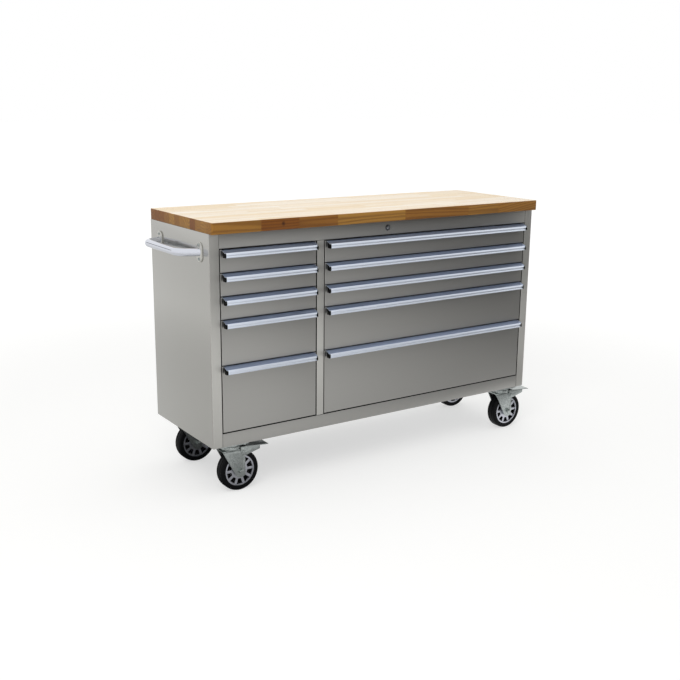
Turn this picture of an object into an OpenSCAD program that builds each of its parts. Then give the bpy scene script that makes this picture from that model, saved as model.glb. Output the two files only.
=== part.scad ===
// Rolling tool chest: stainless cabinet, ten drawers in two columns, timber worktop, four swivel casters.
// Millimetres, +Z up. The origin is on the floor, under the middle of the whole chest.
// Sizes inside the cabinet are counted from its front left corner at floor level, and place() moves them.

/* [Cabinet] */
// Width of the cabinet body
body_w = 1456; // [1400:1:1600]
// Depth of the cabinet body
body_d = 466; // [460:1:560]
// Thickness of the stainless sheet of the panels
skin_t = 1.2; // [0.8:0.1:1.6]
// Thickness of the base pan that carries the casters
pan_t = 2; // [1.5:0.5:3]
// Width of the outer stile at each side of the front
stile_w = 37.5; // [32:0.5:50]
// Width of the post between the two drawer columns
post_w = 31; // [28:0.5:50]
// Height of the rail above the drawers
top_rail_h = 51.5; // [50:0.5:70]
// Height of the rail below the drawers
bottom_rail_h = 49.5; // [35:0.5:80]
// Depth of the returns folded back from the stiles, rails and post
return_d = 14; // [10:1:18]
// Width of the flanges at the top and back of the side panels
flange_w = 25; // [20:1:30]

/* [Worktop] */
// Thickness of the timber worktop
top_t = 39; // [30:1:50]
// Distance the worktop stands out over the front
top_front = 25; // [10:1:40]

/* [Drawers] */
// Width of the left column's opening
left_open_w = 383; // [360:1:450]
// Height of the smallest drawer, with one gap
drawer_unit = 80; // [76:1:90]
// Gap round every drawer front
front_gap = 3; // [2:0.5:5]
// Thickness of the sheet of the drawer trays
tray_t = 1; // [0.8:0.1:1.6]
// Distance from the bottom of a drawer front up to its tray
tray_lift = 8; // [6:1:12]
// Distance from the top of a drawer front down to the rim of its tray
tray_drop = 14; // [12:1:18]
// Distance from the back of the trays to the back panel
tray_room = 23.6; // [22:0.1:40]
// Width of the lip folded inwards at the back of a drawer front
front_lip = 20; // [18:1:24]

/* [Pulls] */
// Distance a pull stands out from the drawer front
pull_reach = 25; // [20:1:32]
// Fall of the pull's top face from the drawer front to its nose
pull_slope = 6.5; // [3:0.5:9]
// Height of the pull's lip
pull_lip = 19.5; // [15:0.5:24]
// Wall of the pull's extrusion
pull_t = 2.2; // [1.8:0.1:3]
// Height of the flange that holds the pull to the drawer front
pull_back = 16; // [12:1:20]
// Distance from the end of a drawer front to the end of its pull
pull_inset = 6; // [3:0.5:12]
// Thickness of the plastic cap on each end of a pull
cap_t = 5; // [3:0.5:8]

/* [Drawer slides] */
// Distance from the rear end of the slides to the back of the trays
slide_back = 20; // [10:1:120]
// Height of the cabinet member
slide_h = 42; // [38:1:44]
// Width of a closed slide, from the cabinet to the tray
slide_w = 12.7; // [12.7:0.1:14]
// Sheet thickness of the slide members
slide_t = 1.2; // [1:0.1:1.4]
// Running gap between the slide members
slide_gap = 0.6; // [0.4:0.1:0.8]
// Distance from the front of the cabinet to the slides
slide_y = 20; // [20:1:24]

/* [Casters] */
// Height from the top of a wheel to the underside of the cabinet
caster_head = 32.5; // [32:0.5:50]
// Diameter of a wheel over its tyre
wheel_d = 150; // [140:1:152]
// Width of a tyre
tyre_w = 42; // [36:1:44]
// Radius at which the tyre sits on the hub
rim_r = 57; // [50:1:62]
// Sideways distance from the swivel axis to the wheel axle
trail = 27; // [20:1:32]
// Distance from each side of the cabinet to the swivel axes
swivel_x = 87.5; // [80:0.5:110]
// Distance from the front of the cabinet to the front swivel axes
swivel_front = 43; // [43:0.5:60]
// Distance from the back of the cabinet to the rear swivel axes
swivel_back = 80; // [50:1:100]
// Length of a caster's top plate, along the width of the chest
plate_x = 112; // [110:1:120]
// Width of a caster's top plate, along the depth of the chest
plate_y = 84; // [80:1:86]
// Thickness of a caster's top plate
plate_t = 4; // [3:0.5:5]
// Spacing of the mounting bolts along the plate
bolt_x = 84; // [78:1:85]
// Spacing of the mounting bolts across the plate
bolt_y = 58; // [56:1:62]
// Radius of the mounting bolts
bolt_r = 4; // [3:0.5:5]
// Thickness of the fork's sheet
fork_t = 3.5; // [3:0.5:4.5]
// Half the width of the fork's head
fork_half = 45; // [42:1:46]
// Radius of the fork's end round the axle
fork_end_r = 24; // [20:1:30]
// Radius of the axle sleeve
axle_r = 6; // [5:0.5:8]
// Distance from the swivel axis to the tip of a brake pedal
pedal_tip = 137.5; // [120:0.5:145]

/* [Push handle] */
// Distance between the two feet of the handle
handle_span = 320; // [280:1:360]
// Distance from the front of the cabinet to the front foot
handle_y = 65; // [55:1:75]
// Distance from the top of the cabinet down to the handle
handle_drop = 67; // [50:1:120]
// Distance from the side of the cabinet to the middle of the bar
handle_reach = 66; // [55:1:90]
// Distance by which the bar is shorter than the span at each end
handle_inset = 32; // [20:1:45]
// Outer diameter of the handle's tube
handle_d = 27; // [22:1:30]
// Wall of the handle's tube
handle_wall = 1.5; // [1:0.5:2.5]
// Radius of the handle's bends
handle_bend = 40; // [32:1:50]
// Width of a handle foot plate
foot_w = 40; // [36:1:44]
// Height of a handle foot plate
foot_h = 68; // [64:1:76]
// Thickness of a handle foot plate
foot_t = 5; // [3:0.5:6]

/* [Lock] */
// Radius of the lock's bezel
bezel_r = 11; // [10:0.5:14]
// Radius of the lock's barrel
barrel_r = 9; // [8:0.5:9.5]
// Radius of the turning plug
plug_r = 6; // [5:0.5:7]
// Distance from the plug's axis to the pin that drives the lock bar
crank_r = 12; // [10:0.5:13]

/* [Hidden] */
$fn = 48;

// Clearances
fit = 0.05;          // radial clearance of a running fit, and the seam between two pieces that touch
screw_gap = 0.3;     // radial clearance of a bolt hole
side_gap = 0.3;      // side clearance of the brake pedal
race_gap = 0.5;      // gap between the two races of a swivel
cut = 1;             // how far a cutting tool runs past a face

// Rows of drawers: the height of each in units, from the top down
row_units = [1, 1, 1, 2, 3];
function rows_above(row) = row == 0 ? 0 : row_units[row - 1] + rows_above(row - 1);
unit_sum = rows_above(len(row_units));
open_h = unit_sum * drawer_unit + front_gap;
caster_h = wheel_d + caster_head;        // underside of the cabinet
body_h = top_rail_h + open_h + bottom_rail_h;
body_top = caster_h + body_h;
open_top = body_top - top_rail_h;
open_bottom = caster_h + bottom_rail_h;
pan_top = caster_h + pan_t;
back_y = body_d - 2 * skin_t;            // front face of the back panel
tray_back = back_y - tray_room;
tray_d = tray_back - return_d;
slide_l = tray_back - slide_back - slide_y;
post_x = stile_w + left_open_w;
open_x = [stile_w, post_x + post_w];     // left edge of each column's opening
open_w = [left_open_w, body_w - 2 * stile_w - post_w - left_open_w];
function front_top(row) = open_top - front_gap - rows_above(row) * drawer_unit;
function front_h(row) = row_units[row] * drawer_unit - front_gap;
function tray_z(row) = front_top(row) - front_h(row) + tray_lift;
function tray_h(row) = front_h(row) - tray_lift - tray_drop;

// Place of the cabinet in the frame: the whole chest is centred on the origin
reach_left = handle_reach + handle_d / 2;
reach_right = pedal_tip - swivel_x;
reach_front = max(pull_reach, top_front);
origin_x = (reach_left - reach_right - body_w) / 2;
origin_y = (reach_front - body_d) / 2;
module place() translate([origin_x, origin_y, 0]) children();

// Colours
steel = [0.66, 0.65, 0.62];
inner_steel = [0.55, 0.56, 0.57];
zinc = [0.72, 0.75, 0.76];
chrome = [0.82, 0.84, 0.87];
black = [0.07, 0.07, 0.08];

// A round bar along Y, with its middle at the origin
module bar_y(r, l) rotate([90, 0, 0]) cylinder(h = l, r = r, center = true);
// A hexagon along Y from y0 to y1
module hex_y(r, y0, y1) translate([0, y1, 0]) rotate([90, 0, 0]) cylinder(h = y1 - y0, r = r, $fn = 6);

// ---- Worktop screws: three along each side flange ----
screw_r = 2.5;
screw_head = [5, 3];                      // radius and height of the head
screw_depth = 22;
worktop_screw_y = [body_d * 0.15, body_d * 0.5, body_d * 0.85];
worktop_screw_x = [flange_w / 2 + 1, body_w - flange_w / 2 - 1];

// ---- Handle ----
handle_z = body_top - handle_drop;
foot_screw_r = 3;
foot_screw_z = [-1, 1] * (handle_d / 2 + foot_h / 2) / 2;
foot_y = [handle_y, handle_y + handle_span];
handle_leg = sqrt(pow(handle_reach, 2) + pow(handle_inset, 2));
handle_turn = 90 - atan(handle_inset / handle_reach);   // angle of each bend
bend_run = handle_bend * tan(handle_turn / 2);          // length a bend takes from leg and bar
bend_lap = 0.5;                                         // how far leg and bar run into the bend
nut_r = 5.6;
nut_h = 5;
bolt_end = 2;                                           // how far a bolt runs past its nut

// One half of the handle, from its foot at the origin past the middle of the bar
module handle_half(r) {
    leg_angle = 180 - atan(handle_inset / handle_reach);
    rotate([0, 0, leg_angle]) translate([-r, 0, 0]) rotate([0, 90, 0])
        cylinder(h = handle_leg - bend_run + bend_lap + r, r = r - fit / 2);
    translate([-handle_reach, handle_inset, 0]) {
        translate([handle_bend, bend_run, 0]) rotate([0, 0, 180]) rotate_extrude(angle = handle_turn)
            translate([handle_bend, 0]) circle(r = r);
        translate([0, bend_run - bend_lap, 0]) rotate([-90, 0, 0])
            cylinder(h = handle_span / 2 - handle_inset - bend_run + 2 * bend_lap, r = r - fit / 2);
    }
}
module handle_tube(r) translate([0, handle_y, handle_z]) {
    handle_half(r);
    translate([0, handle_span, 0]) mirror([0, 1, 0]) handle_half(r);
}
module push_handle() color(chrome) place() difference() {
    handle_tube(handle_d / 2);
    handle_tube(handle_d / 2 - handle_wall);
    translate([-foot_t, handle_y - handle_d, handle_z - handle_d])
        cube([foot_t + 2 * handle_d, handle_span + 2 * handle_d, 2 * handle_d]);
}
module foot_screws(r, x0, x1) for (y = foot_y, dz = foot_screw_z)
    translate([x0, y, handle_z + dz]) rotate([0, 90, 0]) cylinder(h = x1 - x0, r = r);
module handle_feet() color(chrome) place() difference() {
    for (y = foot_y) translate([-foot_t, y, handle_z]) rotate([0, 90, 0]) linear_extrude(foot_t) {
        square([foot_h - foot_w, foot_w], center = true);
        for (s = [-1, 1]) translate([s * (foot_h - foot_w) / 2, 0]) circle(r = foot_w / 2);
    }
    foot_screws(foot_screw_r + screw_gap, -foot_t - cut, cut);
}

// ---- Cabinet ----
// The left side panel: skin, stile, return behind the stile, flanges at the top and the back
module side_shell() {
    translate([0, 0, caster_h]) cube([skin_t, body_d, body_h]);
    translate([0, 0, caster_h]) cube([stile_w, skin_t, body_h]);
    translate([stile_w - skin_t, 0, pan_top]) cube([skin_t, return_d, body_top - pan_top]);
    translate([0, body_d - skin_t, caster_h]) cube([flange_w, skin_t, body_h]);
    translate([0, 0, body_top - skin_t]) cube([flange_w, back_y, skin_t]);
}
module worktop_screw_holes(r) for (x = worktop_screw_x, y = worktop_screw_y)
    translate([x, y, body_top - 2 * skin_t]) cylinder(h = 2 * skin_t + screw_depth, r = r);
module side_panel_left() color(steel) place() difference() {
    side_shell();
    worktop_screw_holes(screw_r + screw_gap);
    foot_screws(foot_screw_r + screw_gap, -cut, skin_t + cut);
}
module side_panel_right() color(steel) place() difference() {
    translate([body_w, 0, 0]) mirror([1, 0, 0]) side_shell();
    worktop_screw_holes(screw_r + screw_gap);
}
// The back panel, with the two shoulder studs that the lock bar runs on
stud_r = 4;
stud_head = [8, 2];
module back_panel() color(steel) place() {
    translate([skin_t, back_y, pan_top]) cube([body_w - 2 * skin_t, skin_t, body_h - pan_t - skin_t]);
    for (x = stud_x) translate([x, back_y, lock_rail_z]) {
        translate([0, -stud_l / 2, 0]) bar_y(stud_r, stud_l);
        translate([0, -stud_l - stud_head[1] / 2, 0]) bar_y(stud_head[0], stud_head[1]);
    }
}
// The base pan carries the casters
swivels = [[swivel_x, swivel_front], [body_w - swivel_x, swivel_front],
           [swivel_x, body_d - swivel_back], [body_w - swivel_x, body_d - swivel_back]];
module at_bolts() for (s = swivels, i = [-1, 1], j = [-1, 1])
    translate([s[0] + i * bolt_x / 2, s[1] + j * bolt_y / 2, 0]) children();
module base_pan() color(inner_steel) place() difference() {
    translate([skin_t, skin_t, caster_h]) cube([body_w - 2 * skin_t, body_d - 2 * skin_t, pan_t]);
    at_bolts() translate([0, 0, caster_h - cut]) cylinder(h = pan_t + 2 * cut, r = bolt_r + screw_gap);
}
// The front frame: both rails and the post, welded, with their returns
module front_frame() color(steel) place() difference() {
    union() {
        translate([stile_w, 0, open_top]) cube([body_w - 2 * stile_w, skin_t, top_rail_h]);
        translate([stile_w, 0, open_top]) cube([body_w - 2 * stile_w, return_d, skin_t]);
        translate([stile_w, 0, body_top - skin_t]) cube([body_w - 2 * stile_w, flange_w, skin_t]);
        translate([stile_w, 0, caster_h]) cube([body_w - 2 * stile_w, skin_t, bottom_rail_h]);
        translate([stile_w, 0, open_bottom - skin_t]) cube([body_w - 2 * stile_w, return_d, skin_t]);
        translate([post_x, 0, open_bottom - skin_t]) cube([post_w, skin_t, open_h + 2 * skin_t]);
        for (x = [post_x, post_x + post_w - skin_t])
            translate([x, 0, open_bottom - skin_t]) cube([skin_t, return_d, open_h + 2 * skin_t]);
    }
    translate([lock_x, 0, lock_z]) bar_y(barrel_r + fit, 4 * skin_t);
}
// The divider is a folded box behind the post
module centre_divider() color(inner_steel) place() difference() {
    translate([post_x, return_d, pan_top]) cube([post_w, back_y - return_d, open_top - pan_top]);
    translate([post_x + skin_t, return_d + skin_t, pan_top - cut])
        cube([post_w - 2 * skin_t, back_y - return_d - 2 * skin_t, open_top - pan_top + 2 * cut]);
}
// Channels between the side panels and the slides
upright_w = 50;
upright_t = 1.5;
upright_in = [90, 106];                   // from the front, and from the back
upright_y = [upright_in[0], body_d - upright_in[1] - upright_w];
module upright(y) translate([skin_t, y, pan_top]) difference() {
    cube([stile_w - skin_t, upright_w, body_top - skin_t - pan_top]);
    translate([-cut, upright_t, -cut])
        cube([stile_w - skin_t - upright_t + cut, upright_w - 2 * upright_t, body_h]);
}
module slide_uprights() color(inner_steel) place() for (y = upright_y) {
    upright(y);
    translate([body_w, 0, 0]) mirror([1, 0, 0]) upright(y);
}
module worktop() color([0.72, 0.52, 0.3]) place() difference() {
    translate([0, -top_front, body_top]) cube([body_w, body_d + top_front, top_t]);
    worktop_screw_holes(screw_r);
}

// ---- Fasteners ----
bolt_head_h = 5.3;
bolt_hex_r = 7.5;
bolt_nut_h = 6.5;
dome = [5.5, 3.2];                        // radius and height of a foot screw's round head
dome_r = (pow(dome[0], 2) + pow(dome[1], 2)) / (2 * dome[1]);
socket = [2.3, 2];                        // radius and depth of its hexagon
module bolt_hex(h) rotate([0, 0, 30]) cylinder(h = h, r = bolt_hex_r, $fn = 6);
module fasteners() color(zinc) place() {
    at_bolts() {
        translate([0, 0, caster_h - plate_t - bolt_head_h]) bolt_hex(bolt_head_h);
        translate([0, 0, caster_h - plate_t - bolt_head_h / 2])
            cylinder(h = bolt_head_h / 2 + plate_t + pan_t + bolt_nut_h + bolt_end, r = bolt_r);
        difference() {
            translate([0, 0, pan_top]) bolt_hex(bolt_nut_h);
            translate([0, 0, pan_top - cut]) cylinder(h = bolt_nut_h + 2 * cut, r = bolt_r + fit);
        }
    }
    for (x = worktop_screw_x, y = worktop_screw_y) translate([x, y, body_top - skin_t]) {
        translate([0, 0, -screw_head[1]]) cylinder(h = screw_head[1], r = screw_head[0]);
        cylinder(h = skin_t + screw_depth - cut, r = screw_r - fit);
    }
    foot_screws(foot_screw_r, -foot_t, skin_t + nut_h + bolt_end);
    for (y = foot_y, dz = foot_screw_z) translate([-foot_t, y, handle_z + dz])
        rotate([0, -90, 0]) difference() {
            intersection() {
                cylinder(h = dome_r, r = dome_r);
                translate([0, 0, dome[1] - dome_r]) sphere(r = dome_r);
            }
            translate([0, 0, dome[1] - socket[1]]) cylinder(h = dome_r, r = socket[0], $fn = 6);
        }
    difference() {
        for (y = foot_y, dz = foot_screw_z)
            translate([skin_t, y, handle_z + dz]) rotate([0, 90, 0]) cylinder(h = nut_h, r = nut_r, $fn = 6);
        foot_screws(foot_screw_r + fit, skin_t - cut, skin_t + nut_h + cut);
    }
}

// ---- Lock ----
lock_x = body_w / 2;
lock_z = body_top - top_rail_h / 2;
barrel_l = 24;
bezel_t = 2.5;
cam_t = 2;
cam_rim = 2;                              // metal of the cam beyond its pin
pin_r = 2.5;
keyway = [1.8, 11, 7];                    // width, depth and height
bar_t = 2;
bar_w = 20;
pin_slot = 0.6;                           // clearance of the pin in the bar's slot
slot_r = pin_r + pin_slot;
cam_y = barrel_l + race_gap;              // front face of the cam
bar_gap = 1;                              // gap between the cam and the bar
bar_y0 = cam_y + cam_t + bar_gap;         // front face of the bar's drive plate
pin_l = cam_t + 2 * bar_gap + bar_t;      // the pin runs through the bar
lock_travel = crank_r * sqrt(2);          // a quarter turn moves the bar this far
module lock_housing() color(chrome) place() translate([lock_x, 0, lock_z]) difference() {
    union() {
        translate([0, barrel_l / 2, 0]) bar_y(barrel_r, barrel_l);
        translate([0, -bezel_t / 2, 0]) bar_y(bezel_r, bezel_t);
    }
    bar_y(plug_r + fit, 3 * barrel_l);
}
module lock_plug() color(chrome) place() translate([lock_x, 0, lock_z]) {
    difference() {
        translate([0, (cam_y + cam_t - bezel_t) / 2, 0]) bar_y(plug_r, cam_y + cam_t + bezel_t);
        translate([-keyway[0] / 2, -bezel_t - cut, -keyway[2] / 2]) cube(keyway + [0, cut, 0]);
    }
    rotate([0, 45, 0]) {
        translate([-plug_r, cam_y, -plug_r]) cube([crank_r + pin_r + plug_r + cam_rim, cam_t, 2 * plug_r]);
        translate([crank_r, cam_y + pin_l / 2, 0]) bar_y(pin_r, pin_l);
    }
}
// The bar: a drive plate at the plug, an arm to the back, a rail, and a strip of hooks behind each column
hook_t = 1.5;
catch_l = 18;                             // sideways length of a drawer's catch
hook_l = 18;                              // sideways length of a hook
strip_y = back_y - slide_gap - bar_t;     // front face of the rail and the strips
catch_reach = 13;                         // from the back of a tray to the catch's flange
catch_y = tray_back + catch_reach;
hook_play = 2;                            // gap between a hook and the flange it holds
hook_y = catch_y - hook_t - hook_play;    // front face of a hook's lip
catch_x = [for (c = [0, 1]) open_x[c] + open_w[c] / 2];
hook_off = 3;                             // sideways gap between an open hook and its catch
hook_x = [for (c = [0, 1]) catch_x[c] + catch_l + hook_off + hook_l];   // left edge of each strip
lock_rail_z = lock_z - bar_w / 2;
stud_l = bar_t + 2 * slide_gap;
stud_x = [hook_x[0] + 3 * bar_w, hook_x[1] - 3 * bar_w];
function hook_z(row) = tray_z(row) + tray_h(row) / 2;
module lock_bar() color(zinc) place() {
    difference() {
        union() {
            translate([lock_x - 1.5 * bar_w, bar_y0, lock_z - bar_w]) cube([3 * bar_w, bar_t, bar_w]);
            translate([lock_x + bar_w / 2, bar_y0, lock_z - bar_w]) cube([bar_w, strip_y - bar_y0, bar_t]);
            translate([hook_x[0], strip_y, lock_z - bar_w])
                cube([hook_x[1] + bar_w - hook_x[0], bar_t, bar_w]);
            for (c = [0, 1]) {
                strip_low = hook_z(len(row_units) - 1) - bar_w / 2;
                translate([hook_x[c], strip_y, strip_low]) cube([bar_w, bar_t, lock_z - bar_w - strip_low]);
            }
        }
        translate([lock_x + lock_travel / 2 - slot_r, bar_y0 - cut, lock_z - crank_r - slot_r])
            cube([2 * slot_r, bar_t + 2 * cut, crank_r * (1 - 1 / sqrt(2)) + 2 * slot_r]);
        for (x = stud_x) translate([x - stud_r - pin_slot, strip_y - cut, lock_rail_z - stud_r - fit])
            cube([lock_travel + 2 * (stud_r + pin_slot), bar_t + 2 * cut, 2 * (stud_r + fit)]);
    }
    // each hook is a stand-off welded on its strip, and a lip welded on the stand-off
    for (c = [0, 1], row = [0:len(row_units) - 1]) translate([hook_x[c], hook_y, hook_z(row) - bar_w / 2]) {
        cube([hook_t, strip_y - hook_y - fit, bar_w]);
        translate([-hook_l, 0, 0]) cube([hook_l - fit, hook_t, bar_w]);
    }
}

// ---- Drawers ----
mid_half = slide_h / 2 - slide_t - slide_gap;          // half height of the middle member
inner_half = mid_half - slide_t - slide_gap;           // half height of the drawer member
// A channel section: its web at x, open towards +X (or -X when f is negative), f wide
module channel(x, half, f) {
    translate([min(x, x + f), slide_y, -half]) cube([abs(f), slide_l, slide_t]);
    translate([min(x, x + f), slide_y, half - slide_t]) cube([abs(f), slide_l, slide_t]);
    translate([f > 0 ? x : x - slide_t, slide_y, -half]) cube([slide_t, slide_l, 2 * half]);
}
slide_lift = 5;                                        // from the bottom of a tray up to its slides
rail_play = 4.5;                                       // gap between a cabinet member and the tray
function slide_z(row) = tray_z(row) + slide_h / 2 + slide_lift;
// Both slides of a drawer: children are drawn at the left wall and mirrored at the right wall
module both_sides(col, row) {
    translate([open_x[col], 0, slide_z(row)]) children();
    translate([open_x[col] + open_w[col], 0, slide_z(row)]) mirror([1, 0, 0]) children();
}
module slide_rails() color(zinc) place() for (col = [0, 1], row = [0:len(row_units) - 1])
    both_sides(col, row) channel(0, slide_h / 2, slide_w - rail_play);
module drawer_slides(col, row) color(zinc) place() both_sides(col, row)
    channel(slide_t + slide_gap, mid_half, slide_w - 2 * (slide_t + slide_gap));

module drawer_front(col, row) {
    w = open_w[col] - 2 * front_gap;
    h = front_h(row);
    translate([open_x[col] + front_gap, 0, front_top(row) - h]) difference() {
        cube([w, return_d, h]);
        translate([skin_t, skin_t, skin_t]) cube([w - 2 * skin_t, return_d - 2 * skin_t, h - 2 * skin_t]);
        translate([front_lip, skin_t, front_lip]) cube([w - 2 * front_lip, return_d, h - 2 * front_lip]);
    }
}
// The tray, with the catch on its back that the lock's hook holds
module drawer_tray(col, row) {
    w = open_w[col] - 2 * slide_w;
    translate([open_x[col] + slide_w, return_d + fit, tray_z(row)]) difference() {
        cube([w, tray_d - fit, tray_h(row)]);
        translate([tray_t, tray_t, tray_t]) cube([w - 2 * tray_t, tray_d - fit - 2 * tray_t, tray_h(row)]);
    }
    translate([catch_x[col] - hook_t, tray_back, hook_z(row) - bar_w / 2])
        cube([hook_t, catch_y + hook_t - tray_back, bar_w]);
    translate([catch_x[col] - hook_t, catch_y, hook_z(row) - bar_w / 2])
        cube([catch_l + hook_t, hook_t, bar_w]);
}
module drawer_box(col, row) color(steel) place() {
    drawer_front(col, row);
    drawer_tray(col, row);
    both_sides(col, row) channel(slide_w - fit, inner_half, 2 * (slide_t + slide_gap) + fit - slide_w);
}

// The pull's section: back flange, sloping top, lip with a small hook. Its y runs back, its z up.
lip_hook = 2;
module pull_section() polygon([
    [0, 0], [-pull_reach, -pull_slope], [-pull_reach, -pull_slope - pull_lip],
    [-pull_reach + pull_t + lip_hook, -pull_slope - pull_lip],
    [-pull_reach + pull_t + lip_hook, -pull_slope - pull_lip + pull_t],
    [-pull_reach + pull_t, -pull_slope - pull_lip + pull_t],
    [-pull_reach + pull_t, -pull_slope * (1 - pull_t / pull_reach) - pull_t],
    [-pull_t, -pull_slope * pull_t / pull_reach - pull_t], [-pull_t, -pull_back], [0, -pull_back]]);
// The end cap's section has two round lobes under a sloping top
cap_d = 19;
module cap_section() {
    lobe_r = cap_d / 4;
    lobe_z = -pull_slope - pull_lip + lobe_r;
    polygon([[-pull_reach, -pull_slope], [-pull_reach + cap_d, -pull_slope * (1 - cap_d / pull_reach)],
             [-pull_reach + cap_d, lobe_z], [-pull_reach, lobe_z]]);
    for (y = [lobe_r, 3 * lobe_r]) translate([-pull_reach + y, lobe_z]) circle(r = lobe_r);
}
module along_x(x, l) translate([x, 0, 0]) rotate([90, 0, 90]) linear_extrude(l) children();
module drawer_pull(col, row) {
    x0 = open_x[col] + front_gap + pull_inset;
    l = open_w[col] - 2 * (front_gap + pull_inset);
    place() translate([0, 0, front_top(row)]) {
        color(chrome) along_x(x0 + cap_t + fit, l - 2 * (cap_t + fit)) pull_section();
        color(black) for (x = [x0, x0 + l - cap_t]) along_x(x, cap_t) cap_section();
    }
}

// ---- Casters ----
wheel_r = wheel_d / 2;
plate_z = caster_h - plate_t;
race_r = 34;
race_lip = 2;                             // the lower race is this much wider
race_h = 7.5;                             // height of the upper race
lower_race_h = 10;
yoke_t = 4;
yoke_z = plate_z - race_h - race_gap - lower_race_h - yoke_t;   // underside of the fork's top
kingpin_r = 7;
kingpin_head = [11, 4];
fork_in = tyre_w / 2 + 3;                 // half the gap between the fork's legs
fork_out = fork_in + fork_t;
plate_r = 8;                              // corner radius of a top plate
module caster_plate() {
    difference() {
        translate([0, 0, plate_z]) linear_extrude(plate_t) {
            square([plate_x - 2 * plate_r, plate_y], center = true);
            square([plate_x, plate_y - 2 * plate_r], center = true);
            for (i = [-1, 1], j = [-1, 1])
                translate([i * (plate_x / 2 - plate_r), j * (plate_y / 2 - plate_r)]) circle(r = plate_r);
        }
        for (i = [-1, 1], j = [-1, 1]) translate([i * bolt_x / 2, j * bolt_y / 2, plate_z - cut])
            cylinder(h = plate_t + 2 * cut, r = bolt_r + screw_gap);
    }
    translate([0, 0, plate_z - race_h]) cylinder(h = race_h, r = race_r);
    translate([0, 0, yoke_z - race_gap]) cylinder(h = plate_z - yoke_z, r = kingpin_r);
    translate([0, 0, yoke_z - race_gap - kingpin_head[1]]) cylinder(h = kingpin_head[1], r = kingpin_head[0]);
}
module caster_plates() color(zinc) place() for (s = swivels) translate([s[0], s[1], 0]) caster_plate();

// Where a line from p touches the axle's round end; side is 1 for the left edge, -1 for the right
function touch(p, side) =
    let (d = [trail, wheel_r] - p, l = norm(d), a = atan2(d[1], d[0]), b = asin(fork_end_r / l))
    p + sqrt(l * l - fork_end_r * fork_end_r) * [cos(a - side * b), sin(a - side * b)];
module fork_leg_outline() {
    top_left = [-fork_half, yoke_z + yoke_t];
    top_right = [fork_half, yoke_z + yoke_t];
    polygon([top_left, top_right, touch(top_right, -1), [trail, wheel_r], touch(top_left, 1)]);
    translate([trail, wheel_r]) circle(r = fork_end_r);
}
// The fork is pressed from one sheet: a yoke with round shoulders and two legs
fork_shoulder = 10;
module arch(half, top, r) {
    translate([-half, 0]) square([2 * half, top - r]);
    translate([r - half, 0]) square([2 * (half - r), top]);
    for (i = [-1, 1]) translate([i * (half - r), top - r]) circle(r = r);
}
module fork_shell() intersection() {
    rotate([90, 0, 90]) linear_extrude(2 * fork_half, center = true) difference() {
        arch(fork_out, yoke_z + yoke_t, fork_shoulder);
        arch(fork_in, yoke_z, fork_shoulder - fork_t);
    }
    rotate([90, 0, 0]) linear_extrude(2 * fork_out + 2 * cut, center = true) fork_leg_outline();
}
pivot = [38, yoke_z - 10.5];              // hinge of the brake pedal, from the swivel axis and the floor
rivet_r = 3;
cheek_t = 2;
cheek_y = fork_out + side_gap;            // inner face of a pedal cheek
rivet_head = [rivet_r + 2, 1.5];          // radius and height
axle_nut = [8.5, 8];                      // radius and height
axle_end = 1.5;                           // how far the axle bolt runs past its nut
module fork(brake) {
    difference() {
        union() {
            fork_shell();
            translate([0, 0, yoke_z + yoke_t]) cylinder(h = lower_race_h, r = race_r + race_lip);
            if (brake) for (s = [0, 1]) mirror([0, s, 0]) translate([pivot[0], 0, pivot[1]]) {
                translate([0, fork_in + fork_t / 2 + cheek_t, 0]) bar_y(rivet_r, fork_t + 2 * cheek_t);
                translate([0, cheek_y + cheek_t + side_gap + rivet_head[1] / 2, 0])
                    bar_y(rivet_head[0], rivet_head[1]);
            }
        }
        translate([0, 0, yoke_z - cut]) cylinder(h = lower_race_h + yoke_t + 2 * cut, r = kingpin_r + fit);
        translate([trail, 0, wheel_r]) bar_y(axle_bolt_r + fit, 4 * fork_out);
    }
    translate([trail, 0, wheel_r]) axle();
}
// The axle: a sleeve between the legs, a bolt through it, and a nut
axle_bolt_r = axle_r - 1;
module axle() {
    bar_y(axle_r, 2 * (fork_in - fit));
    bar_y(axle_bolt_r, 2 * (fork_out + axle_nut[1]));
    hex_y(axle_nut[0], -fork_out - axle_nut[1], -fork_out - fit);
    difference() {
        hex_y(axle_nut[0], fork_out + fit, fork_out + axle_nut[1] - axle_end);
        bar_y(axle_bolt_r + fit, 4 * fork_out);
    }
}
module at_swivel(i) place() translate([swivels[i][0], swivels[i][1], 0]) children();

// The hub: rim, spoked web and boss
hub_w = tyre_w - 4;
rim_t = 6;
spokes = 10;
boss_r = 18;
boss_half = fork_in - race_gap;
web_w = 30;
spoke_w = 9;
core_t = 3;                               // the pockets between the spokes leave a core this thick
web_ring = [14, 0.5];                     // metal between the pockets and the boss, and the rim
module pocket() {
    r0 = boss_r + web_ring[0];
    r1 = rim_r - rim_t - web_ring[1];
    half_in = r0 * sin(180 / spokes) - spoke_w / 2;
    half_out = r1 * sin(180 / spokes) - spoke_w / 2;
    polygon([[r0, -half_in], [r1, -half_out], [r1, half_out], [r0, half_in]]);
}
module hub() translate([trail, 0, wheel_r]) difference() {
    union() {
        difference() {
            bar_y(rim_r, hub_w);
            bar_y(rim_r - rim_t, hub_w + 2 * cut);
        }
        bar_y(rim_r - rim_t / 2, web_w);
        bar_y(boss_r, 2 * boss_half);
    }
    bar_y(axle_r + fit, 4 * fork_in);
    for (i = [0:spokes - 1], s = [0, 1]) rotate([0, (i + 0.5) * 360 / spokes, 0]) mirror([0, s, 0])
        translate([0, -core_t / 2, 0]) rotate([90, 0, 0]) linear_extrude(web_w) pocket();
}
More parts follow.
